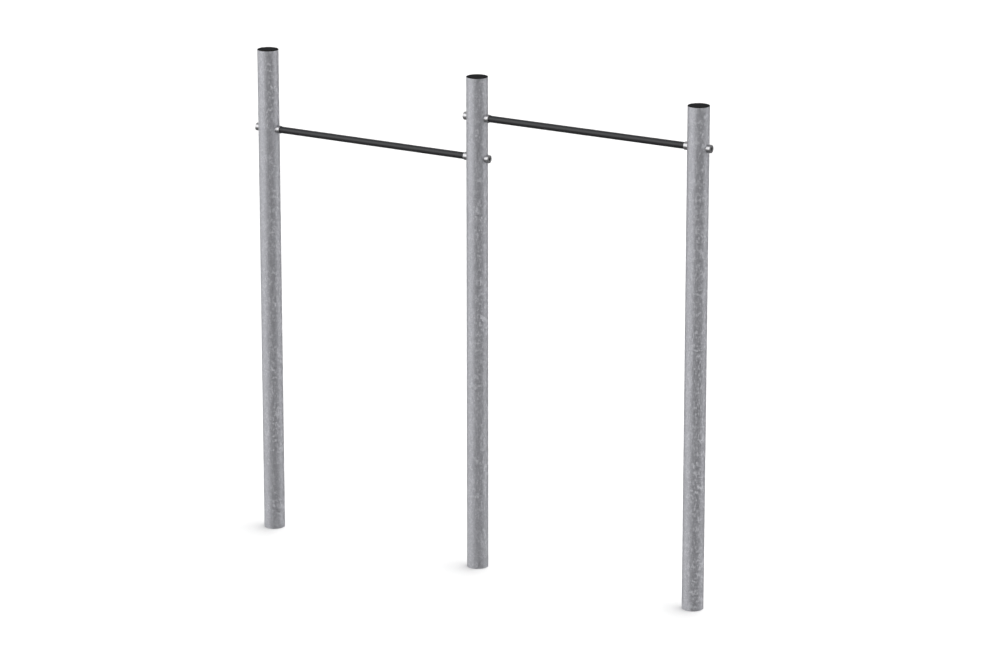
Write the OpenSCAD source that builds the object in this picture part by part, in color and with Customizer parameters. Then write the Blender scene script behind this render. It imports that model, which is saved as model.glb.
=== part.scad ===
// Two-bay horizontal bar station: three galvanised posts carry a low bar and a high bar.
// The origin is the middle of the middle post's foot, X runs along the bars and Z is up.

/* [Station] */
// Height from the ground to the top of the post caps
station_h = 2400; // [1900:10:3000]
// Distance between the axes of neighbouring posts
bay_w = 1178; // [700:1:1800]
// Drop from the top of the caps to the axis of the high bar
high_bar_drop = 196; // [110:1:400]
// Height of the high bar's axis above the low bar's axis
bar_step = 193; // [80:1:500]

/* [Posts] */
// Outside diameter of a post tube
post_d = 101.6; // [76.1:0.1:139.7]
// Wall thickness of a post tube
post_wall = 3.6; // [2:0.1:8]

/* [Post caps] */
// Height of the straight edge of a cap's lip
cap_lip_h = 1.5; // [1:0.1:6]
// Height of the bevel above the lip
cap_bevel_h = 1.5; // [0.5:0.1:6]
// Width of the bevel, measured inwards from the edge
cap_bevel_w = 9; // [2:0.5:20]
// Depth of the plug inside the tube
cap_plug_depth = 25; // [12:1:60]
// Wall thickness of the plug
cap_plug_wall = 2.5; // [1.5:0.1:5]
// Space between the plug and the tube, which the ribs bridge
cap_rib_reach = 2.5; // [1:0.1:5]
// Thickness of one rib
cap_rib_t = 1.6; // [1:0.1:3]
// Number of ribs round the plug
cap_ribs = 3; // [1:1:5]
// Gap between a rib and the tube
cap_fit = 0.1; // [0.05:0.05:0.5]

/* [Bars] */
// Outside diameter of a bar
bar_d = 32; // [26.9:0.1:48.3]
// Wall thickness of a bar
bar_wall = 4; // [2:0.1:6]

/* [End fittings] */
// Wall of a fitting round the end of its bar
fitting_wall = 2.9; // [2:0.1:6]
// Radial gap between a bar and its collar
bar_fit = 0.1; // [0.05:0.05:0.5]
// How deep a bar sits in its collar
bar_seat_depth = 14; // [8:0.5:40]
// Thickness of a collar's floor, between the post and the bar
collar_floor_t = 4; // [3:0.1:10]
// Thickness of an end cap's floor, under the lock washer
end_cap_floor_t = 3.5; // [3:0.1:10]
// How far a screw head lies below the rim of its end cap
head_recess = 0.3; // [0:0.1:5]
// Radial gap between a screw head's washer and its end cap
washer_fit = 0.25; // [0.1:0.05:1]
// Chamfer on the outer edge of a fitting
fitting_chamfer = 1; // [0.2:0.1:2]
// Gap between a fitting's saddle and the post, so that the sleeve takes the clamping load
saddle_gap = 0.1; // [0.05:0.05:0.5]

/* [Fasteners] */
// Diameter of a socket screw's thread
screw_d = 12; // [8:0.1:16]
// Height of a socket screw's head
head_h = 12; // [6:0.5:16]
// Width of a screw head beyond its thread, on each side
head_lip = 3; // [1.5:0.1:4]
// Chamfer on the edge of a screw head
head_chamfer = 0.8; // [0.2:0.1:1.5]
// Width of the hexagon socket across its flats
hex_af = 10; // [5:0.5:11]
// Depth of the hexagon socket
hex_depth = 6; // [3:0.5:6]
// How far a screw runs into its bar's insert
thread_reach = 28.7; // [15:0.1:60]
// Radial gap of a clearance hole round a screw
screw_fit = 0.5; // [0.2:0.1:1]
// Radial gap between a screw and its tapped insert
thread_fit = 0.1; // [0.05:0.05:0.2]
// Thickness of a split lock washer
washer_t = 2.2; // [1.5:0.1:4]
// Width of a lock washer beyond the screw head, on each side
washer_lip = 0.75; // [0:0.05:2]
// Width of the split in a lock washer
washer_split = 1; // [0.5:0.1:3]

/* [Inner pieces] */
// Wall thickness of the sleeve that crosses a post
sleeve_wall = 6; // [3:0.1:7]
// Radial gap round a sleeve, in the post and in the fittings
sleeve_fit = 0.3; // [0.1:0.05:0.6]
// Length of an insert beyond the tip of its screw
insert_tail = 16.3; // [4:0.1:60]
// Radial gap between an insert and the bar's bore
insert_fit = 0.05; // [0:0.05:0.2]

/* [Hidden] */
$fn = 96;
overcut = 1;

post_r = post_d / 2;
post_bore_r = post_r - post_wall;
tube_h = station_h - cap_lip_h - cap_bevel_h;
bar_r = bar_d / 2;
bar_bore_r = bar_r - bar_wall;
high_bar_z = station_h - high_bar_drop;
low_bar_z = high_bar_z - bar_step;

screw_r = screw_d / 2;
screw_hole_r = screw_r + screw_fit;
head_r = screw_r + head_lip;
washer_r = head_r + washer_lip;
sleeve_r = screw_hole_r + sleeve_wall;
sleeve_hole_r = sleeve_r + sleeve_fit;
fitting_r = bar_r + bar_fit + fitting_wall;

// Distances from a post's axis, towards the bar
bar_start = post_r + collar_floor_t;
collar_end = bar_start + bar_seat_depth;
insert_len = thread_reach + insert_tail;
// Distances from a post's axis, away from the bar
washer_start = post_r + end_cap_floor_t;
head_start = washer_start + washer_t;
end_cap_end = head_start + head_h + head_recess;
screw_len = head_start + bar_start + thread_reach;

// Each post: its name, its place along X and the heights of the bars that it carries
POSTS = [
    ["left", -bay_w, [low_bar_z]],
    ["middle", 0, [low_bar_z, high_bar_z]],
    ["right", bay_w, [high_bar_z]],
];
// Each bar: its name, its place along X and its height
BARS = [
    ["low", -bay_w / 2, low_bar_z],
    ["high", bay_w / 2, high_bar_z],
];
// Each end of a bar: its name, its post's place along X, its height and its bar's side of the post
ENDS = [
    ["low_left", -bay_w, low_bar_z, 1],
    ["low_right", 0, low_bar_z, -1],
    ["high_left", 0, high_bar_z, 1],
    ["high_right", bay_w, high_bar_z, -1],
];
END_PIECES = ["collar", "end_cap", "cross_sleeve", "bar_insert", "socket_screw", "lock_washer"];

// Stands what is drawn along +Z on a post's axis, pointing towards the bar
module towards_bar(end) {
    translate([end[1], 0, end[2]])
        rotate([0, 90 * end[3], 0])
            children();
}

// The same, pointing away from the bar
module away_from_bar(end) {
    translate([end[1], 0, end[2]])
        rotate([0, -90 * end[3], 0])
            children();
}

module ring(outer_r, inner_r, h) {
    difference() {
        cylinder(r = outer_r, h = h);
        translate([0, 0, -overcut]) cylinder(r = inner_r, h = h + 2 * overcut);
    }
}

module chamfered_rod(r, h, chamfer) {
    cylinder(r = r, h = h - chamfer);
    translate([0, 0, h - chamfer]) cylinder(r1 = r, r2 = r - chamfer, h = chamfer);
}

// A turned fitting: saddle-cut to the post, with a pocket for the sleeve and a hole for the screw
module fitting_blank(end_at) {
    difference() {
        chamfered_rod(fitting_r, end_at, fitting_chamfer);
        rotate([0, 90, 0]) cylinder(r = post_r + saddle_gap, h = post_d, center = true);
        cylinder(r = sleeve_hole_r, h = post_r);
        cylinder(r = screw_hole_r, h = end_at + overcut);
    }
}

module post(place) {
    color("darkgray")
        translate([place[1], 0, 0])
            difference() {
                cylinder(r = post_r, h = tube_h);
                translate([0, 0, -overcut]) cylinder(r = post_bore_r, h = tube_h + 2 * overcut);
                for (bar_z = place[2])
                    translate([0, 0, bar_z])
                        rotate([0, 90, 0])
                            cylinder(r = sleeve_hole_r, h = post_d + 2 * overcut, center = true);
            }
}

module post_cap(place) {
    plug_r = post_bore_r - cap_rib_reach;
    rib_pitch = cap_plug_depth / (cap_ribs + 1);
    color([0.11, 0.11, 0.12])
        translate([place[1], 0, tube_h]) {
            cylinder(r = post_r, h = cap_lip_h);
            translate([0, 0, cap_lip_h])
                cylinder(r1 = post_r, r2 = post_r - cap_bevel_w, h = cap_bevel_h);
            translate([0, 0, -cap_plug_depth])
                difference() {
                    union() {
                        cylinder(r = plug_r, h = cap_plug_depth);
                        for (rib = [1:cap_ribs])
                            translate([0, 0, rib * rib_pitch - cap_rib_t / 2])
                                cylinder(r = post_bore_r - cap_fit, h = cap_rib_t);
                    }
                    translate([0, 0, -overcut])
                        cylinder(r = plug_r - cap_plug_wall, h = cap_plug_depth + overcut);
                }
        }
}

module bar(place) {
    bar_len = bay_w - 2 * bar_start;
    color([0.16, 0.16, 0.17])
        translate([place[1] - bar_len / 2, 0, place[2]])
            rotate([0, 90, 0])
                ring(bar_r, bar_bore_r, bar_len);
}

module collar(end) {
    color("gainsboro")
        towards_bar(end)
            difference() {
                fitting_blank(collar_end);
                translate([0, 0, bar_start]) cylinder(r = bar_r + bar_fit, h = bar_seat_depth + overcut);
            }
}

module end_cap(end) {
    color("gainsboro")
        away_from_bar(end)
            difference() {
                fitting_blank(end_cap_end);
                translate([0, 0, washer_start])
                    cylinder(r = washer_r + washer_fit, h = end_cap_end - washer_start + overcut);
            }
}

module cross_sleeve(end) {
    color("silver")
        towards_bar(end)
            translate([0, 0, -post_r])
                ring(sleeve_r, screw_hole_r, post_d);
}

module bar_insert(end) {
    color("silver")
        towards_bar(end)
            translate([0, 0, bar_start])
                ring(bar_bore_r - insert_fit, screw_r + thread_fit, insert_len);
}

module socket_screw(end) {
    color("gray")
        away_from_bar(end)
            difference() {
                union() {
                    translate([0, 0, head_start - screw_len]) cylinder(r = screw_r, h = screw_len);
                    translate([0, 0, head_start]) chamfered_rod(head_r, head_h, head_chamfer);
                }
                translate([0, 0, head_start + head_h - hex_depth])
                    cylinder(d = hex_af / cos(30), h = hex_depth + overcut, $fn = 6);
            }
}

module lock_washer(end) {
    color("gray")
        away_from_bar(end)
            translate([0, 0, washer_start])
                difference() {
                    ring(washer_r, screw_hole_r, washer_t);
                    translate([0, -washer_split / 2, -overcut])
                        cube([washer_r + overcut, washer_split, washer_t + 2 * overcut]);
                }
}

for (place = POSTS) {
    post(place);
    post_cap(place);
}
for (place = BARS) {
    bar(place);
}
for (end = ENDS) {
    collar(end);
    end_cap(end);
    cross_sleeve(end);
    bar_insert(end);
    socket_screw(end);
    lock_washer(end);
}
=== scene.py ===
import math

import bmesh
import bpy
from mathutils import Matrix, Vector


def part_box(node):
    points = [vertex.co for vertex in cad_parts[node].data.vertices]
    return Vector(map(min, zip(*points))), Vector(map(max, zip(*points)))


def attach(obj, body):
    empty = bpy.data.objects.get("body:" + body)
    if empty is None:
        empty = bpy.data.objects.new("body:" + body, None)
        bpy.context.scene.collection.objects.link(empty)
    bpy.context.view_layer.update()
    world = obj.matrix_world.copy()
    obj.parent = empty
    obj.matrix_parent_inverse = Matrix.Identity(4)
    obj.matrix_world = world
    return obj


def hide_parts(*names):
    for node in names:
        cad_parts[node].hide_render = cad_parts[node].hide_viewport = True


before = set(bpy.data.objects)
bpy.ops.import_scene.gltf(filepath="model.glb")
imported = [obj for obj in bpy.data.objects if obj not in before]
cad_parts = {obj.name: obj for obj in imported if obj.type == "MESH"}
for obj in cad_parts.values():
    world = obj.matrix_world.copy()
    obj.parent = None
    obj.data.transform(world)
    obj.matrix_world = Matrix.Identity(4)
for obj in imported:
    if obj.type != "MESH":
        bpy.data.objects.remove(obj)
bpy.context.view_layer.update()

bl_info = {
    "name": "Horizontal Bar Station",
    "version": (1, 0, 0),
    "blender": (4, 5, 0),
    "location": "3D View > Sidebar > Bar Station",
    "description": "Builds the finished pieces of a two-bay horizontal bar station and its stage",
    "category": "Add Mesh",
}

MM = 0.001
BODY = "root"
POSTS = ("left", "middle", "right")
BARS = ("low", "high")
# Each end of a bar, with the post that it is bolted to
ENDS = {"low_left": "left", "low_right": "middle", "high_left": "middle", "high_right": "right"}

POST_STEPS = 128
FITTING_STEPS = 96
THREAD_STEPS = 48
# Rings to one turn of a screw thread
THREAD_RINGS = 8
# Rings across the face that is cut to the post
SADDLE_RINGS = 4
# Faces across a rounded edge
EDGE_SEGMENTS = 3
# An edge is sharp where its faces turn by more than this, in degrees
SHARP_ANGLE = 40
# The same on a cap's lid, whose slope is shallow
LID_ANGLE = 8
RIGHT_ANGLE = math.pi / 2
# Points closer together than this are one point
MERGE = 0.005 * MM
# A point of a profile drawn from this far down the axis is pushed up onto the post's surface
SADDLE = -1.0
# The same for the floor of the pocket that the cross sleeve ends in
POCKET = -2.0
# How far above and below a hole the post has a loop of its own
HOLE_BAND = 16 * MM
LATHE_PLACE = "lathe_place"
# How much the tool's place moves on across a face, for each step along the axis
FACING_SHARE = 1.3
# Share of the pitch that is flat on a thread's crest, and again at its root
THREAD_FLAT = 0.12


# Where the frame puts things


def middle_of(node):
    low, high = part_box(node)
    return (low + high) / 2


def radius_of(node):
    """Radius of a round node, by the wider of its two sides: its facets may stop short on the other."""
    low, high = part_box(node)
    across = high - low
    return max(across.y, across.x if "_post" in node else across.z) / 2


def post_radius(post):
    """Radius of a post, which its cap is flush with."""
    return radius_of(post + "_post_cap")


def post_x(end):
    return middle_of(ENDS[end] + "_post").x


def bar_side(end):
    """+1 where the bar leaves its post towards +X, and -1 where it leaves towards -X."""
    return 1 if middle_of(end + "_collar").x > post_x(end) else -1


def screw_axis(end, towards_bar=True):
    """Turns what is drawn along +Z to lie along the screw at one end, measured from the post's axis."""
    turn = bar_side(end) if towards_bar else -bar_side(end)
    centre = Vector((post_x(end), 0, middle_of(end + "_collar").z))
    return Matrix.Translation(centre) @ Matrix.Rotation(turn * RIGHT_ANGLE, 4, "Y")


def reach_of(end, node):
    """Nearest and furthest distance of one of an end's nodes from the post's axis."""
    low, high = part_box(end + "_" + node)
    near, far = sorted((abs(low.x - post_x(end)), abs(high.x - post_x(end))))
    return near, far


# Sizes and colours that a user would change


def length(name, description, millimetres):
    return bpy.props.FloatProperty(
        name=name, description=description, default=millimetres * MM, unit="LENGTH"
    )


def shade(name, description, colour):
    return bpy.props.FloatVectorProperty(
        name=name, description=description, default=colour, subtype="COLOR", size=3, min=0, max=1
    )


class PostSettings(bpy.types.PropertyGroup):
    wall: length("Wall", "Wall thickness of a post tube", 3.6)
    rim_round: length("Rim", "Rounding of the tube's cut ends", 0.7)
    hole_gap: length("Hole gap", "Gap round a sleeve in the tube's wall", 0.3)
    crystal: length("Crystal", "Width of one zinc crystal", 6.2)
    lean: bpy.props.FloatProperty(
        name="Lean", description="How strongly the crystals lean out of the surface", default=0.075, min=0
    )
    zinc_bright: shade("Bright zinc", "Colour of the brightest crystals", (0.66, 0.665, 0.70))
    zinc_dull: shade("Dull zinc", "Colour of the dullest crystals", (0.50, 0.505, 0.54))


class CapSettings(bpy.types.PropertyGroup):
    lip: length("Lip", "Height of the cap's straight edge", 1.5)
    bevel: length("Bevel", "Width of the slope round the lid", 9)
    edge_round: length("Edge", "Rounding of the lid's edges", 0.35)
    gate: length("Gate mark", "Radius of the moulding mark in the lid's middle", 2.5)
    plug_gap: length("Plug gap", "Space between plug and tube, which the ribs bridge", 2.5)
    plug_wall: length("Plug wall", "Wall thickness of the hollow plug", 2.5)
    rib: length("Rib", "Thickness of a gripping rib", 1.6)
    rib_gap: length("Rib gap", "Gap between a rib and the tube", 0.1)
    ribs: bpy.props.IntProperty(name="Ribs", description="Number of gripping ribs", default=3, min=1)
    plastic: shade("Plastic", "Colour of the caps", (0.0045, 0.0045, 0.005))


class BarSettings(bpy.types.PropertyGroup):
    wall: length("Wall", "Wall thickness of a bar", 4)
    rim_round: length("Rim", "Rounding of the bar's cut ends", 0.6)
    paint: shade("Powder coat", "Colour of the bars", (0.010, 0.010, 0.012))


class FittingSettings(bpy.types.PropertyGroup):
    chamfer: length("Chamfer", "Chamfer on a fitting's outer edge", 1)
    edge_round: length("Edge", "Rounding of a fitting's turned edges", 0.2)
    saddle_gap: length("Saddle gap", "Gap between a fitting's saddle and the post", 0.1)
    collar_floor: length("Collar floor", "Thickness of a collar between post and bar", 4)
    cap_floor: length("End cap floor", "Thickness of an end cap under its washer", 3.5)
    bar_gap: length("Bar gap", "Gap between a bar and its collar", 0.1)
    sleeve_gap: length("Sleeve gap", "Gap round a sleeve in a fitting's pocket", 0.3)
    washer_gap: length("Washer gap", "Gap round a washer in its end cap", 0.25)
    screw_gap: length("Screw gap", "Gap round a screw in its clearance holes", 0.5)
    steel: shade("Stainless steel", "Colour of the turned fittings", (0.53, 0.53, 0.54))


class FastenerSettings(bpy.types.PropertyGroup):
    thread_radius: length("Thread", "Outside radius of a screw's thread", 6)
    thread_pitch: length("Pitch", "Distance from one turn of the thread to the next", 1.75)
    thread_depth: length("Depth", "Depth of the thread", 1.07)
    thread_length: length("Threaded length", "How much of a screw has a thread", 36)
    thread_gap: length("Thread gap", "Gap between a screw and its tapped insert", 0.1)
    head: length("Head", "Height of a screw's head", 12)
    head_chamfer: length("Head chamfer", "Chamfer on a screw's head", 0.8)
    knurl: length("Knurl", "Depth of the knurling round a screw's head", 0.2)
    socket: length("Socket", "Width of the hexagon socket across its flats", 10)
    socket_depth: length("Socket depth", "Depth of the hexagon socket", 6)
    split: length("Split", "Width of the split in a lock washer", 1)
    edge_round: length("Edge", "Rounding of the fasteners' edges", 0.2)
    steel: shade("Screw steel", "Colour of the screws and washers", (0.36, 0.36, 0.37))
    plate: shade("Zinc plate", "Colour of the sleeves and inserts", (0.60, 0.61, 0.64))


class StageSettings(bpy.types.PropertyGroup):
    azimuth: bpy.props.FloatProperty(
        name="Azimuth", description="The camera's angle round the station", default=math.radians(31.49),
        subtype="ANGLE"
    )
    elevation: bpy.props.FloatProperty(
        name="Elevation", description="The camera's angle above the ground", default=math.radians(15.62),
        subtype="ANGLE"
    )
    distance: bpy.props.FloatProperty(
        name="Distance", description="From the camera to what it looks at", default=20.63, unit="LENGTH"
    )
    aim: bpy.props.FloatVectorProperty(
        name="Aim", description="What the camera looks at", default=(0.125, 0, 1.175), subtype="TRANSLATION"
    )
    lens: bpy.props.FloatProperty(name="Lens", description="Focal length, in millimetres", default=157.6)
    floor: bpy.props.FloatProperty(
        name="Floor", description="Radius of the floor", default=120, unit="LENGTH"
    )


SETTINGS = {
    "bar_station_posts": PostSettings,
    "bar_station_caps": CapSettings,
    "bar_station_bars": BarSettings,
    "bar_station_fittings": FittingSettings,
    "bar_station_fasteners": FastenerSettings,
    "bar_station_stage": StageSettings,
}


# Finishes, written as sums


class Value:
    """The output of a node. A sum of Values, or of Values and numbers, adds its Math nodes."""

    def __init__(self, finish, socket):
        self.finish = finish
        self.socket = socket

    def maths(self, operation, first, second):
        return self.finish.add("ShaderNodeMath", {"operation": operation}, {0: first, 1: second})

    def __add__(self, other):
        return self.maths("ADD", self, other)

    def __radd__(self, other):
        return self.maths("ADD", other, self)

    def __sub__(self, other):
        return self.maths("SUBTRACT", self, other)

    def __rsub__(self, other):
        return self.maths("SUBTRACT", other, self)

    def __mul__(self, other):
        return self.maths("MULTIPLY", self, other)

    def __rmul__(self, other):
        return self.maths("MULTIPLY", other, self)


class Finish:
    """A node tree being filled in, of a material or of the world."""

    def __init__(self, owner):
        owner.use_nodes = True
        self.nodes = owner.node_tree.nodes
        self.links = owner.node_tree.links

    def add(self, kind, settings=None, sockets=None, output=0):
        """Adds a node, makes its settings, fills its sockets, and gives back one of its outputs."""
        node = self.nodes.new(kind)
        for setting, value in (settings or {}).items():
            if setting == "stops":
                self.set_stops(node.color_ramp, value)
            else:
                setattr(node, setting, value)
        self.fill(node, sockets or {})
        return Value(self, node.outputs[output])

    def fill(self, node, sockets):
        for socket, value in sockets.items():
            if isinstance(value, Value):
                self.links.new(value.socket, node.inputs[socket])
            else:
                node.inputs[socket].default_value = value

    def set_stops(self, ramp, stops):
        while len(ramp.elements) < len(stops):
            ramp.elements.new(1)
        for element, (position, grey) in zip(ramp.elements, stops):
            element.position = position
            element.color = (grey, grey, grey, 1)

    def shader(self, **sockets):
        """Fills the Principled shader, with spaces for the underscores in its sockets' names."""
        named = {socket.replace("_", " "): value for socket, value in sockets.items()}
        self.fill(self.nodes["Principled BSDF"], named)

    def place(self):
        return self.add("ShaderNodeTexCoord", output="Object")

    def noise(self, vector, scale, detail=2.0, roughness=0.5, output=0):
        """Noise with about scale patches to the metre."""
        sockets = {"Vector": vector, "Scale": scale, "Detail": detail, "Roughness": roughness}
        return self.add("ShaderNodeTexNoise", {}, sockets, output)

    def crystals(self, vector, width):
        """Crystals of that width, each with a random colour of its own."""
        sockets = {"Vector": vector, "Scale": 1 / width}
        return self.add("ShaderNodeTexVoronoi", {}, sockets, output="Color")

    def rings(self, scale, detail=2.0):
        """Noise that runs round a turned piece in rings."""
        along = self.add("ShaderNodeAttribute", {"attribute_name": LATHE_PLACE}, output="Fac")
        return self.add(
            "ShaderNodeTexNoise", {"noise_dimensions": "1D"}, {"W": along, "Scale": scale, "Detail": detail}
        )

    def ramp(self, value, stops):
        return self.add("ShaderNodeValToRGB", {"stops": stops}, {"Fac": value})

    def mix(self, amount, first, second):
        sockets = {0: amount, 6: opaque(first), 7: opaque(second)}
        return self.add("ShaderNodeMix", {"data_type": "RGBA"}, sockets, output=2)

    def vector(self, operation, *values, **named):
        sockets = {**dict(enumerate(values)), **named}
        return self.add("ShaderNodeVectorMath", {"operation": operation}, sockets)

    def bump(self, height, distance, **named):
        return self.add("ShaderNodeBump", {}, {"Height": height, "Distance": distance, **named})


def opaque(colour):
    return colour if isinstance(colour, Value) else (*colour[:3], 1)


def times(colour, factor):
    return tuple(part * factor for part in colour)


def finish_of(name, fill_in, **details):
    """The finish of that name, made at its first use."""
    material = bpy.data.materials.get(name)
    if material is None:
        material = bpy.data.materials.new(name)
        fill_in(Finish(material), **details)
    return material


def galvanised_zinc(finish, sizes):
    """Hot-dip zinc: crystals that each lean their own way, with dull, pale flecks that lie in drifts."""
    place = finish.place()
    wander = finish.noise(place, 90, detail=3, output="Color")
    wander = finish.vector("SUBTRACT", wander, (0.5, 0.5, 0.5))
    wander = finish.vector("SCALE", wander, Scale=0.5 * sizes.crystal)
    slanted = finish.add("ShaderNodeMapping", {}, {
        "Vector": finish.vector("ADD", place, wander), "Rotation": (0.5, 0.4, 0.0), "Scale": (1.0, 1.0, 0.7)
    })
    flake = finish.crystals(slanted, sizes.crystal)
    sliver = finish.crystals(slanted, sizes.crystal / 2)
    drift = finish.ramp(finish.noise(place, 7, detail=4, roughness=0.6), [(0.38, 0.45), (0.62, 1.0)])
    cloud = finish.noise(place, 3, detail=4)
    shine = one_of(finish, flake) - 0.5
    fleck = finish.ramp(one_of(finish, flake), [(0.74, 0.0), (0.82, 1.0)]) * drift
    speckle = one_of(finish, sliver) - 0.5
    lean = finish.vector("SUBTRACT", finish.vector("ADD", flake, sliver), (1, 1, 1))
    lean = finish.vector("SCALE", lean, Scale=sizes.lean)
    facing = finish.add("ShaderNodeNewGeometry", output="Normal")
    facing = finish.vector("NORMALIZE", finish.vector("ADD", facing, lean))
    grain = finish.noise(place, 900, detail=3)
    tone = fleck * 0.4 + shine * 0.3 + speckle * 0.5 + (cloud - 0.5) * 0.15 + 0.4
    finish.shader(
        Base_Color=finish.mix(tone, sizes.zinc_dull, sizes.zinc_bright),
        Metallic=0.77 - fleck * 0.21 - shine * 0.1 - speckle * 0.12,
        Roughness=0.46 + fleck * 0.1 + (cloud - 0.5) * 0.1,
        Specular_IOR_Level=0.3,
        Normal=finish.bump(grain, 0.02 * MM, Normal=facing),
    )


def one_of(finish, colour):
    """The red part of a colour, as a number."""
    return finish.add("ShaderNodeSeparateColor", {}, {"Color": colour})


def powder_coat(finish, paint):
    """Satin powder coat with its fine orange peel."""
    place = finish.place()
    cloud = finish.noise(place, 14, detail=3)
    peel = finish.noise(place, 500, detail=1)
    finish.shader(
        Base_Color=finish.mix(cloud, paint, times(paint, 1.6)),
        Roughness=0.42 + (cloud - 0.5) * 0.1,
        Normal=finish.bump(peel, 0.05 * MM),
    )


def turned_metal(finish, metal, roughness, mark_depth):
    """Bare or plated metal off a lathe, with fine marks that run round it."""
    marks = finish.rings(4000)
    bands = finish.rings(500, detail=1)
    bloom = finish.noise(finish.place(), 90, detail=3)
    finish.shader(
        Base_Color=finish.mix(bloom * 0.7 + marks * 0.3, times(metal, 0.85), metal),
        Metallic=1.0,
        Roughness=roughness + (bloom - 0.5) * 0.08 + (bands - 0.5) * 0.06,
        Normal=finish.bump(marks, mark_depth),
    )


def moulded_plastic(finish, plastic):
    """Semi-matt black plastic with the fine grain of its mould."""
    place = finish.place()
    cloud = finish.noise(place, 35, detail=3)
    grain = finish.noise(place, 1200, detail=2)
    finish.shader(
        Base_Color=finish.mix(cloud, plastic, times(plastic, 1.7)),
        Roughness=0.5 + (cloud - 0.5) * 0.12,
        Specular_IOR_Level=0.08,
        Normal=finish.bump(grain, 0.03 * MM),
    )


def pale_ground(finish):
    """The floor, matt and almost white."""
    mottle = finish.noise(finish.place(), 0.4)
    finish.shader(
        Base_Color=finish.mix(mottle, (0.89, 0.89, 0.89), (0.91, 0.91, 0.91)),
        Roughness=0.9,
        Specular_IOR_Level=0.0,
    )


# Turned shapes


def turned(profile, steps=FITTING_STEPS, hollow=True, turn=math.tau):
    """Spins a profile of (radius, along) points about Z. A hollow piece's profile closes on itself, and a
    solid piece's runs from axis to axis."""
    mesh = bmesh.new()
    points = [mesh.verts.new((radius, 0, along)) for radius, along in profile]
    pairs = list(zip(points, points[1:]))
    if hollow:
        pairs.append((points[-1], points[0]))
    edges = [mesh.edges.new(pair) for pair in pairs]
    bmesh.ops.spin(
        mesh, geom=points + edges, cent=(0, 0, 0), axis=(0, 0, 1), dvec=(0, 0, 0), space=Matrix.Identity(4),
        angle=turn, steps=steps, use_merge=turn == math.tau, use_normal_flip=False, use_duplicate=False
    )
    bmesh.ops.remove_doubles(mesh, verts=mesh.verts, dist=MERGE)
    bmesh.ops.recalc_face_normals(mesh, faces=mesh.faces)
    return mesh


def round_edges(mesh, width, chosen=None, sharper_than=SHARP_ANGLE):
    """Rounds the mesh's sharp edges, or those of them that are chosen."""
    edges = [
        edge for edge in mesh.edges
        if len(edge.link_faces) == 2
        and edge.calc_face_angle() > math.radians(sharper_than)
        and (chosen is None or chosen(edge))
    ]
    bmesh.ops.bevel(
        mesh, geom=edges, offset=width, offset_type="OFFSET", segments=EDGE_SEGMENTS, profile=0.5,
        affect="EDGES", clamp_overlap=True, material=-1
    )


def set_radius(vert, radius):
    """Moves a point straight in or out to that distance from the axis."""
    shrink = radius / math.hypot(vert.co.x, vert.co.y)
    vert.co.x *= shrink
    vert.co.y *= shrink


def add_piece(node, mesh, place, material):
    """Puts a mesh that was drawn about the origin in its place, as the finished piece for a node. Each
    point keeps how far the lathe's tool would have travelled to it, for the marks on turned metal."""
    bmesh.ops.remove_doubles(mesh, verts=mesh.verts, dist=MERGE)
    layer = mesh.verts.layers.float.new(LATHE_PLACE)
    for vert in mesh.verts:
        vert[layer] = vert.co.z + FACING_SHARE * math.hypot(vert.co.x, vert.co.y)
    bmesh.ops.transform(mesh, matrix=place, verts=mesh.verts)
    bmesh.ops.recalc_face_normals(mesh, faces=mesh.faces)
    data = bpy.data.meshes.new(node + "_finished")
    mesh.to_mesh(data)
    mesh.free()
    data.shade_smooth()
    data.set_sharp_from_angle(angle=math.radians(SHARP_ANGLE))
    data.materials.append(material)
    piece = bpy.data.objects.new(node + "_finished", data)
    bpy.context.scene.collection.objects.link(piece)
    shading = piece.modifiers.new("Even shading", "WEIGHTED_NORMAL")
    shading.keep_sharp = True
    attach(piece, BODY)
    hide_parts(node)


# Posts and their caps


class BAR_STATION_OT_posts(bpy.types.Operator):
    """Stand the three galvanised tubes, drilled through for their cross sleeves"""

    bl_idname = "bar_station.posts"
    bl_label = "Posts"

    def execute(self, context):
        sizes = context.scene.bar_station_posts
        zinc = finish_of("Galvanised zinc", galvanised_zinc, sizes=sizes)
        for post in POSTS:
            node = post + "_post"
            ends = [end for end, carrier in ENDS.items() if carrier == post]
            heights = [middle_of(end + "_cross_sleeve").z for end in ends]
            loops = [height + shift for height in sorted(heights) for shift in (-HOLE_BAND, HOLE_BAND)]
            radius = post_radius(post)
            bore = radius - sizes.wall
            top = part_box(node)[1].z
            mesh = turned([
                (radius, 0), *((radius, loop) for loop in loops), (radius, top),
                (bore, top), *((bore, loop) for loop in reversed(loops)), (bore, 0),
            ], steps=POST_STEPS)
            round_edges(mesh, sizes.rim_round)
            for end, height in zip(ends, heights):
                hole = radius_of(end + "_cross_sleeve") + sizes.hole_gap
                mesh = drilled(mesh, height, hole, 3 * radius)
            add_piece(node, mesh, Matrix.Translation((middle_of(node).x, 0, 0)), zinc)
        return {"FINISHED"}


def drilled(tube, height, radius, bit_length):
    """The tube with a round hole right through it along X."""
    bit = bmesh.new()
    bmesh.ops.create_cone(
        bit, cap_ends=True, segments=FITTING_STEPS, radius1=radius, radius2=radius, depth=bit_length
    )
    place = Matrix.Translation((0, 0, height)) @ Matrix.Rotation(RIGHT_ANGLE, 4, "Y")
    bmesh.ops.transform(bit, matrix=place, verts=bit.verts)
    blank, cutter = bench_object(tube), bench_object(bit)
    cut = blank.modifiers.new("Drilled", "BOOLEAN")
    cut.operation = "DIFFERENCE"
    cut.solver = "EXACT"
    cut.object = cutter
    result = bmesh.new()
    result.from_object(blank, bpy.context.evaluated_depsgraph_get())
    for used in (blank, cutter):
        bpy.data.meshes.remove(used.data)
    return result


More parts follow.
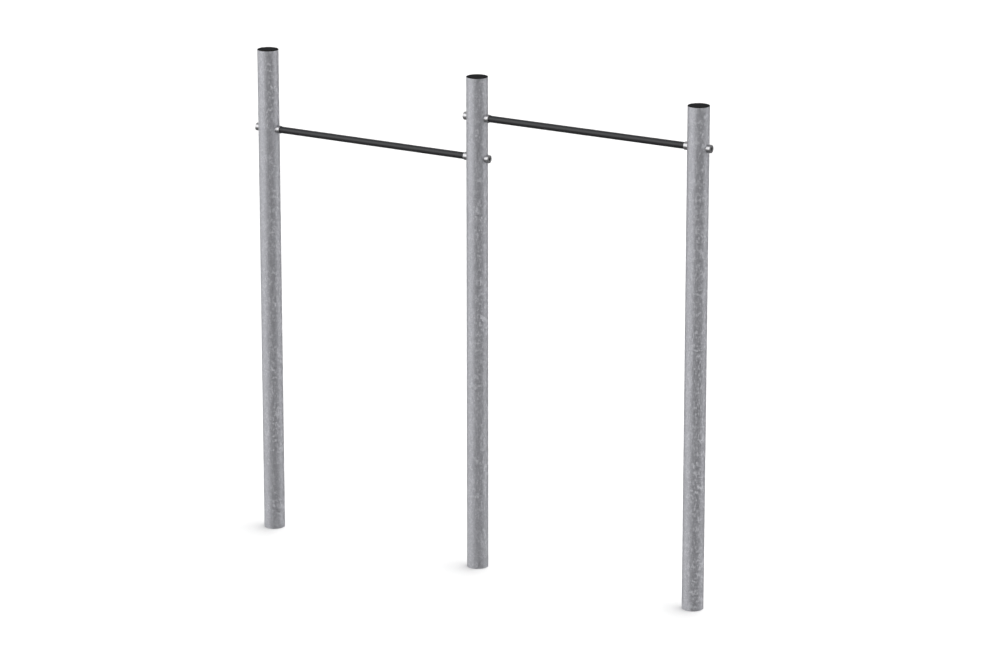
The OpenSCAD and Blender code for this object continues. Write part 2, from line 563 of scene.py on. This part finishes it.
def bench_object(mesh):
    """A mesh as an object for a moment, for a modifier to work on. Removing its mesh removes it."""
    data = bpy.data.meshes.new("bench")
    mesh.to_mesh(data)
    mesh.free()
    held = bpy.data.objects.new("bench", data)
    bpy.context.scene.collection.objects.link(held)
    return held


class BAR_STATION_OT_post_caps(bpy.types.Operator):
    """Close each post with a moulded cap: a bevelled lid on a hollow plug with gripping ribs"""

    bl_idname = "bar_station.post_caps"
    bl_label = "Post caps"

    def execute(self, context):
        sizes = context.scene.bar_station_caps
        tube_wall = context.scene.bar_station_posts.wall
        plastic = finish_of("Moulded black plastic", moulded_plastic, plastic=sizes.plastic)
        for post in POSTS:
            node = post + "_post_cap"
            tube_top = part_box(post + "_post")[1].z
            mesh = turned(cap_profile(sizes, node, tube_top, tube_wall), hollow=False)
            round_edges(mesh, sizes.edge_round, lambda edge: edge.verts[0].co.z > tube_top - MM, LID_ANGLE)
            add_piece(node, mesh, Matrix.Translation((middle_of(node).x, 0, 0)), plastic)
        return {"FINISHED"}


def cap_profile(sizes, node, tube_top, tube_wall):
    """From the middle of the lid out over its edge, down the ribbed plug and up inside it to the axis."""
    bottom, top = (corner.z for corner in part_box(node))
    radius = radius_of(node)
    bore = radius - tube_wall
    plug = bore - sizes.plug_gap
    grip = bore - sizes.rib_gap
    hollow = plug - sizes.plug_wall
    dip = sizes.gate / 6
    profile = [
        (0, top - dip), (sizes.gate - dip, top - dip), (sizes.gate, top), (radius - sizes.bevel, top),
        (radius, tube_top + sizes.lip), (radius, tube_top), (plug, tube_top),
    ]
    pitch = (tube_top - bottom) / (sizes.ribs + 1)
    half = sizes.rib / 2
    for rib in range(sizes.ribs, 0, -1):
        height = bottom + rib * pitch
        profile += [(plug, height + half), (grip, height + half), (grip, height), (plug, height - half)]
    return profile + [(plug, bottom), (hollow, bottom), (hollow, tube_top), (0, tube_top)]


# Bars


class BAR_STATION_OT_bars(bpy.types.Operator):
    """Run the two powder-coated tubes between their collars"""

    bl_idname = "bar_station.bars"
    bl_label = "Bars"

    def execute(self, context):
        sizes = context.scene.bar_station_bars
        paint = finish_of("Black powder coat", powder_coat, paint=sizes.paint)
        for bar in BARS:
            node = bar + "_bar"
            low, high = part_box(node)
            radius = radius_of(node)
            bore = radius - sizes.wall
            span = high.x - low.x
            mesh = turned([(radius, 0), (radius, span), (bore, span), (bore, 0)])
            round_edges(mesh, sizes.rim_round)
            place = Matrix.Translation((low.x, 0, middle_of(node).z)) @ Matrix.Rotation(RIGHT_ANGLE, 4, "Y")
            add_piece(node, mesh, place, paint)
        return {"FINISHED"}


# Fittings at the ends of the bars


def turned_fitting(sizes, end, node, mouth):
    """A fitting cut to the post at its near end. mouth is its profile from the far face in to the
    screw hole."""
    outer = radius_of(end + "_" + node)
    far = reach_of(end, node)[1]
    pocket = radius_of(end + "_cross_sleeve") + sizes.sleeve_gap
    nick = sizes.edge_round
    step = (outer - nick - pocket) / SADDLE_RINGS
    saddle = [(pocket + step * ring, SADDLE) for ring in range(SADDLE_RINGS + 1)]
    mesh = turned([
        *saddle, (outer, SADDLE + nick), (outer, far - sizes.chamfer), (outer - sizes.chamfer, far),
        *mouth, (mouth[-1][0], POCKET), (pocket, POCKET),
    ])
    cut_to_post(mesh, post_radius(ENDS[end]), sizes.saddle_gap)
    round_edges(mesh, nick, lambda edge: min(vert.co.z for vert in edge.verts) > mouth[-1][1] - MM)
    return mesh


def cut_to_post(mesh, post, gap):
    """Pushes a fitting's saddle, and the floor of its pocket, up from their marks onto the post."""
    for vert in mesh.verts:
        surface = math.sqrt((post + gap) ** 2 - vert.co.y ** 2)
        if vert.co.z < (SADDLE + POCKET) / 2:
            vert.co.z = max(post, surface)
        elif vert.co.z < SADDLE / 2:
            vert.co.z += surface - SADDLE
    bmesh.ops.remove_doubles(mesh, verts=mesh.verts, dist=MERGE)


def fitting_steel(context):
    """Stainless steel, as the collars and end caps are turned from it."""
    steel = context.scene.bar_station_fittings.steel
    return finish_of(
        "Turned stainless steel", turned_metal, metal=steel, roughness=0.35, mark_depth=0.004 * MM
    )


def clearance_hole(context):
    """Radius of a hole that a screw passes freely through."""
    scene = context.scene
    return scene.bar_station_fasteners.thread_radius + scene.bar_station_fittings.screw_gap


class BAR_STATION_OT_collars(bpy.types.Operator):
    """Turn the four collars that the bars sit in"""

    bl_idname = "bar_station.collars"
    bl_label = "Collars"

    def execute(self, context):
        sizes = context.scene.bar_station_fittings
        hole = clearance_hole(context)
        for end, post in ENDS.items():
            seat = post_radius(post) + sizes.collar_floor
            socket = radius_of(end.split("_")[0] + "_bar") + sizes.bar_gap
            far = reach_of(end, "collar")[1]
            mouth = [(socket, far), (socket, seat), (hole, seat)]
            mesh = turned_fitting(sizes, end, "collar", mouth)
            add_piece(end + "_collar", mesh, screw_axis(end), fitting_steel(context))
        return {"FINISHED"}


class BAR_STATION_OT_end_caps(bpy.types.Operator):
    """Turn the four end caps that hold the screws' heads"""

    bl_idname = "bar_station.end_caps"
    bl_label = "End caps"

    def execute(self, context):
        sizes = context.scene.bar_station_fittings
        hole = clearance_hole(context)
        for end, post in ENDS.items():
            floor = post_radius(post) + sizes.cap_floor
            well = radius_of(end + "_lock_washer") + sizes.washer_gap
            far = reach_of(end, "end_cap")[1]
            mouth = [(well, far), (well, floor), (hole, floor)]
            mesh = turned_fitting(sizes, end, "end_cap", mouth)
            place = screw_axis(end, towards_bar=False)
            add_piece(end + "_end_cap", mesh, place, fitting_steel(context))
        return {"FINISHED"}


# Fasteners and what they pass through


def groove(vert, pitch):
    """How deep a right-hand thread along Z is cut at a point, from 0 on its crest to 1 at its root."""
    turn = math.atan2(vert.co.y, vert.co.x) / math.tau
    phase = (vert.co.z / pitch - turn) % 1.0
    slope = (1 - abs(2 * phase - 1) - THREAD_FLAT) / (1 - 2 * THREAD_FLAT)
    return min(1.0, max(0.0, slope))


def thread_rings(radius, start, end, pitch):
    """Profile points close enough together for a thread."""
    count = round((end - start) / pitch * THREAD_RINGS)
    return [(radius, start + (end - start) * ring / count) for ring in range(count + 1)]


def zinc_plate(context):
    """Bright zinc plate, as it is on the sleeves and inserts."""
    plate = context.scene.bar_station_fasteners.plate
    return finish_of(
        "Bright zinc plate", turned_metal, metal=plate, roughness=0.3, mark_depth=0.003 * MM
    )


def screw_steel(context):
    """Duller stainless steel, as the screws and washers are made of it."""
    steel = context.scene.bar_station_fasteners.steel
    return finish_of("Screw steel", turned_metal, metal=steel, roughness=0.34, mark_depth=0.004 * MM)


class BAR_STATION_OT_cross_sleeves(bpy.types.Operator):
    """Cut the four sleeves that cross the posts round the screws"""

    bl_idname = "bar_station.cross_sleeves"
    bl_label = "Cross sleeves"

    def execute(self, context):
        sizes = context.scene.bar_station_fasteners
        hole = clearance_hole(context)
        for end in ENDS:
            node = end + "_cross_sleeve"
            radius = radius_of(node)
            reach = reach_of(end, "cross_sleeve")[1]
            mesh = turned([(radius, -reach), (radius, reach), (hole, reach), (hole, -reach)])
            round_edges(mesh, 2 * sizes.edge_round)
            add_piece(node, mesh, screw_axis(end), zinc_plate(context))
        return {"FINISHED"}


class BAR_STATION_OT_bar_inserts(bpy.types.Operator):
    """Tap the four inserts that close the ends of the bars"""

    bl_idname = "bar_station.bar_inserts"
    bl_label = "Bar inserts"

    def execute(self, context):
        sizes = context.scene.bar_station_fasteners
        hole = sizes.thread_radius + sizes.thread_gap
        # Length at each end of the hole that has no thread
        lead = sizes.thread_depth
        for end in ENDS:
            node = end + "_bar_insert"
            radius = radius_of(node)
            near, far = reach_of(end, "bar_insert")
            midway = (radius + hole) / 2
            tapped = thread_rings(hole, near + lead, far - lead, sizes.thread_pitch)
            mesh = turned([
                (radius, near), (radius, far), (hole, far), *reversed(tapped), (hole, near)
            ], steps=THREAD_STEPS)
            for vert in mesh.verts:
                threaded = near + lead / 2 < vert.co.z < far - lead / 2
                if threaded and math.hypot(vert.co.x, vert.co.y) < midway:
                    set_radius(vert, hole - sizes.thread_depth * groove(vert, sizes.thread_pitch))
            round_edges(mesh, sizes.edge_round, lambda edge: is_outer(edge, midway))
            add_piece(node, mesh, screw_axis(end), zinc_plate(context))
        return {"FINISHED"}


def is_outer(edge, radius):
    """Whether an edge lies wholly further out than that radius."""
    return all(math.hypot(vert.co.x, vert.co.y) > radius for vert in edge.verts)


class BAR_STATION_OT_socket_screws(bpy.types.Operator):
    """Make the four socket screws, with knurled heads and rolled threads"""

    bl_idname = "bar_station.socket_screws"
    bl_label = "Socket screws"

    def execute(self, context):
        sizes = context.scene.bar_station_fasteners
        for end in ENDS:
            node = end + "_socket_screw"
            # The head's face is nearer to the post's axis than the tip is
            head_end, tip = reach_of(end, "socket_screw")
            mesh = screw_mesh(sizes, radius_of(node), -head_end, tip)
            add_piece(node, mesh, screw_axis(end), screw_steel(context))
        return {"FINISHED"}


def screw_mesh(sizes, head_radius, top, tip):
    """A socket screw along Z from the face of its head, at top, to its tip."""
    shank = sizes.thread_radius
    under_head = top + sizes.head
    plain_band = 1.6 * sizes.head_chamfer
    knurl = (top + plain_band, under_head - plain_band)
    corner = sizes.socket / math.sqrt(3)
    socket = (top + 0.1 * sizes.socket_depth, top + sizes.socket_depth)
    drill_point = 0.2 * sizes.socket_depth
    soft = sizes.edge_round
    fillet, fillet_middle = 2 * soft, 0.6 * soft
    thread = (tip - sizes.thread_length, tip - sizes.thread_depth)
    mesh = turned([
        (0, socket[1] + drill_point), (corner, socket[1]), (corner, socket[0]), (1.06 * corner, top),
        (head_radius - sizes.head_chamfer, top), (head_radius, top + sizes.head_chamfer),
        (head_radius, knurl[0] - soft), (head_radius, knurl[0]), (head_radius, knurl[1]),
        (head_radius, knurl[1] + soft), (head_radius, under_head - soft),
        (head_radius - soft, under_head), (shank + fillet, under_head),
        (shank + fillet_middle, under_head + fillet_middle), (shank, under_head + fillet),
        *thread_rings(shank, *thread, sizes.thread_pitch), (shank - sizes.thread_depth, tip), (0, tip),
    ], hollow=False)
    for vert in mesh.verts:
        shape_screw(sizes, vert, corner, head_radius, socket, knurl, thread)
    return mesh


def shape_screw(sizes, vert, corner, head_radius, socket, knurl, thread):
    """Pushes one point of a screw in: to the flats of its socket, the furrows of its knurl or its
    thread. Each of the three is given by its first and last place along the screw."""
    radius = math.hypot(vert.co.x, vert.co.y)
    angle = math.atan2(vert.co.y, vert.co.x)
    height = vert.co.z
    if socket[0] - MERGE < height < socket[1] + MERGE and abs(radius - corner) < MERGE:
        from_flat = (angle + math.pi / 6) % (math.pi / 3) - math.pi / 6
        set_radius(vert, sizes.socket / 2 / math.cos(from_flat))
    elif knurl[0] - MERGE < height < knurl[1] + MERGE and abs(radius - head_radius) < MERGE:
        if round(angle / math.tau * FITTING_STEPS) % 2:
            set_radius(vert, radius - sizes.knurl)
    elif thread[0] + MERGE < height < thread[1] + MERGE and radius > sizes.thread_radius - MERGE:
        fade = min(1.0, (height - thread[0]) / sizes.thread_pitch)
        set_radius(vert, radius - fade * sizes.thread_depth * groove(vert, sizes.thread_pitch))


class BAR_STATION_OT_lock_washers(bpy.types.Operator):
    """Coil the four split lock washers that lie under the screws' heads"""

    bl_idname = "bar_station.lock_washers"
    bl_label = "Lock washers"

    def execute(self, context):
        sizes = context.scene.bar_station_fasteners
        hole = clearance_hole(context)
        for end in ENDS:
            node = end + "_lock_washer"
            radius = radius_of(node)
            near, far = reach_of(end, "lock_washer")
            gap = sizes.split / ((radius + hole) / 2)
            profile = [(hole, near), (radius, near), (radius, far), (hole, far)]
            mesh = turned(profile, turn=math.tau - gap)
            open_edges = [edge for edge in mesh.edges if edge.is_boundary]
            bmesh.ops.holes_fill(mesh, edges=open_edges, sides=0)
            # The split runs through on a slant, by its own width from face to face
            slant = gap / (far - near)
            for vert in mesh.verts:
                vert.co = Matrix.Rotation(slant * (vert.co.z - near), 3, "Z") @ vert.co
            bmesh.ops.recalc_face_normals(mesh, faces=mesh.faces)
            round_edges(mesh, sizes.edge_round / 2)
            place = screw_axis(end, towards_bar=False)
            add_piece(node, mesh, place, screw_steel(context))
        return {"FINISHED"}


# Floor, light and camera


class BAR_STATION_OT_stage(bpy.types.Operator):
    """Lay a plain pale floor, hang soft studio light and set the camera"""

    bl_idname = "bar_station.stage"
    bl_label = "Stage"

    def execute(self, context):
        sizes = context.scene.bar_station_stage
        lay_floor(sizes.floor)
        light_world(context.scene)
        for name, lamp in LAMPS.items():
            hang_lamp(name, **lamp)
        context.scene.camera = camera_at(sizes)
        context.scene.view_settings.view_transform = "Standard"
        return {"FINISHED"}


def lay_floor(radius):
    """A round floor that takes shadows, casts none and isn't mirrored in the metal."""
    mesh = bmesh.new()
    bmesh.ops.create_circle(mesh, cap_ends=True, segments=FITTING_STEPS, radius=radius)
    data = bpy.data.meshes.new("floor")
    mesh.to_mesh(data)
    mesh.free()
    data.materials.append(finish_of("Pale ground", pale_ground))
    floor = bpy.data.objects.new("floor", data)
    bpy.context.scene.collection.objects.link(floor)
    floor.visible_glossy = False
    floor.visible_shadow = False


# Soft lamps a long way off: where they hang and how wide they are, in degrees, and whether they light
# by gloss or by spread
LAMPS = {
    "key_lamp": {"azimuth": -28, "elevation": 24, "width": 64, "strength": 1.6, "gloss": True},
    "left_lamp": {"azimuth": -74, "elevation": 0, "width": 60, "strength": 0.5, "gloss": True},
    "right_lamp": {"azimuth": 120, "elevation": 0, "width": 50, "strength": 0.28, "gloss": True},
    "back_lamp": {"azimuth": 146, "elevation": 50, "width": 110, "strength": 3.3, "gloss": False},
    "top_lamp": {"azimuth": 0, "elevation": 90, "width": 150, "strength": 0.2, "gloss": False},
}
# Grey of the studio's walls, from straight below to straight above
WALLS = [(0.0, 0.08), (0.28, 0.22), (0.5, 0.15), (0.62, 0.12), (0.8, 0.4), (1.0, 0.6)]
# What the camera sees past the floor, a little over white
BACKDROP = (1.1, 1.1, 1.1)
# Width of the camera's sensor, in millimetres
SENSOR = 36


def direction(azimuth, elevation):
    """Towards a lamp or the camera: azimuth 0 is -Y, and it turns towards +X."""
    flat = math.cos(elevation)
    return Vector((math.sin(azimuth) * flat, -math.cos(azimuth) * flat, math.sin(elevation)))


def hang_lamp(name, azimuth, elevation, width, strength, gloss):
    """One of the soft lamps, turned to shine on the station."""
    data = bpy.data.lights.new(name, "SUN")
    data.energy = strength
    data.angle = math.radians(width)
    lamp = bpy.data.objects.new(name, data)
    bpy.context.scene.collection.objects.link(lamp)
    towards = direction(math.radians(azimuth), math.radians(elevation))
    lamp.rotation_mode = "QUATERNION"
    lamp.rotation_quaternion = towards.to_track_quat("Z", "Y")
    lamp.visible_glossy = gloss
    lamp.visible_diffuse = not gloss


def light_world(scene):
    """Soft grey walls all round, and white where the camera looks past the floor."""
    world = bpy.data.worlds.new("Studio")
    scene.world = world
    finish = Finish(world)
    outwards = finish.add("ShaderNodeTexCoord", output="Generated")
    height = finish.add("ShaderNodeSeparateXYZ", {}, {"Vector": outwards}, output="Z")
    walls = finish.ramp(height * 0.5 + 0.5, WALLS)
    seen = finish.add("ShaderNodeLightPath", output="Is Camera Ray")
    finish.fill(finish.nodes["Background"], {"Color": finish.mix(seen, walls, BACKDROP)})


def camera_at(sizes):
    """A camera that looks at its aim from its distance, with the horizon level."""
    data = bpy.data.cameras.new("camera")
    data.lens = sizes.lens
    data.sensor_width = SENSOR
    data.clip_start = 0.1
    data.clip_end = 400
    camera = bpy.data.objects.new("camera", data)
    bpy.context.scene.collection.objects.link(camera)
    outwards = direction(sizes.azimuth, sizes.elevation)
    camera.location = Vector(sizes.aim) + outwards * sizes.distance
    camera.rotation_mode = "QUATERNION"
    camera.rotation_quaternion = outwards.to_track_quat("Z", "Y")
    return camera


# The add-on's panel and its start


class BAR_STATION_PT_pieces(bpy.types.Panel):
    """Lists the station's pieces and their settings"""

    bl_label = "Bar Station"
    bl_space_type = "VIEW_3D"
    bl_region_type = "UI"
    bl_category = "Bar Station"

    def draw(self, context):
        for operator in OPERATORS:
            self.layout.operator(operator.bl_idname)
        for name, group in SETTINGS.items():
            box = self.layout.box()
            for setting in group.__annotations__:
                box.prop(getattr(context.scene, name), setting)


OPERATORS = (
    BAR_STATION_OT_posts,
    BAR_STATION_OT_post_caps,
    BAR_STATION_OT_bars,
    BAR_STATION_OT_collars,
    BAR_STATION_OT_end_caps,
    BAR_STATION_OT_cross_sleeves,
    BAR_STATION_OT_bar_inserts,
    BAR_STATION_OT_socket_screws,
    BAR_STATION_OT_lock_washers,
    BAR_STATION_OT_stage,
)
CLASSES = (*SETTINGS.values(), *OPERATORS, BAR_STATION_PT_pieces)


def register():
    for cls in CLASSES:
        bpy.utils.register_class(cls)
    for name, group in SETTINGS.items():
        setattr(bpy.types.Scene, name, bpy.props.PointerProperty(type=group))


def unregister():
    for name in SETTINGS:
        delattr(bpy.types.Scene, name)
    for cls in reversed(CLASSES):
        bpy.utils.unregister_class(cls)


def main():
    register()
    bpy.ops.bar_station.posts()
    bpy.ops.bar_station.post_caps()
    bpy.ops.bar_station.bars()
    bpy.ops.bar_station.collars()
    bpy.ops.bar_station.end_caps()
    bpy.ops.bar_station.cross_sleeves()
    bpy.ops.bar_station.bar_inserts()
    bpy.ops.bar_station.socket_screws()
    bpy.ops.bar_station.lock_washers()
    bpy.ops.bar_station.stage()


if __name__ == "__main__":
    main()
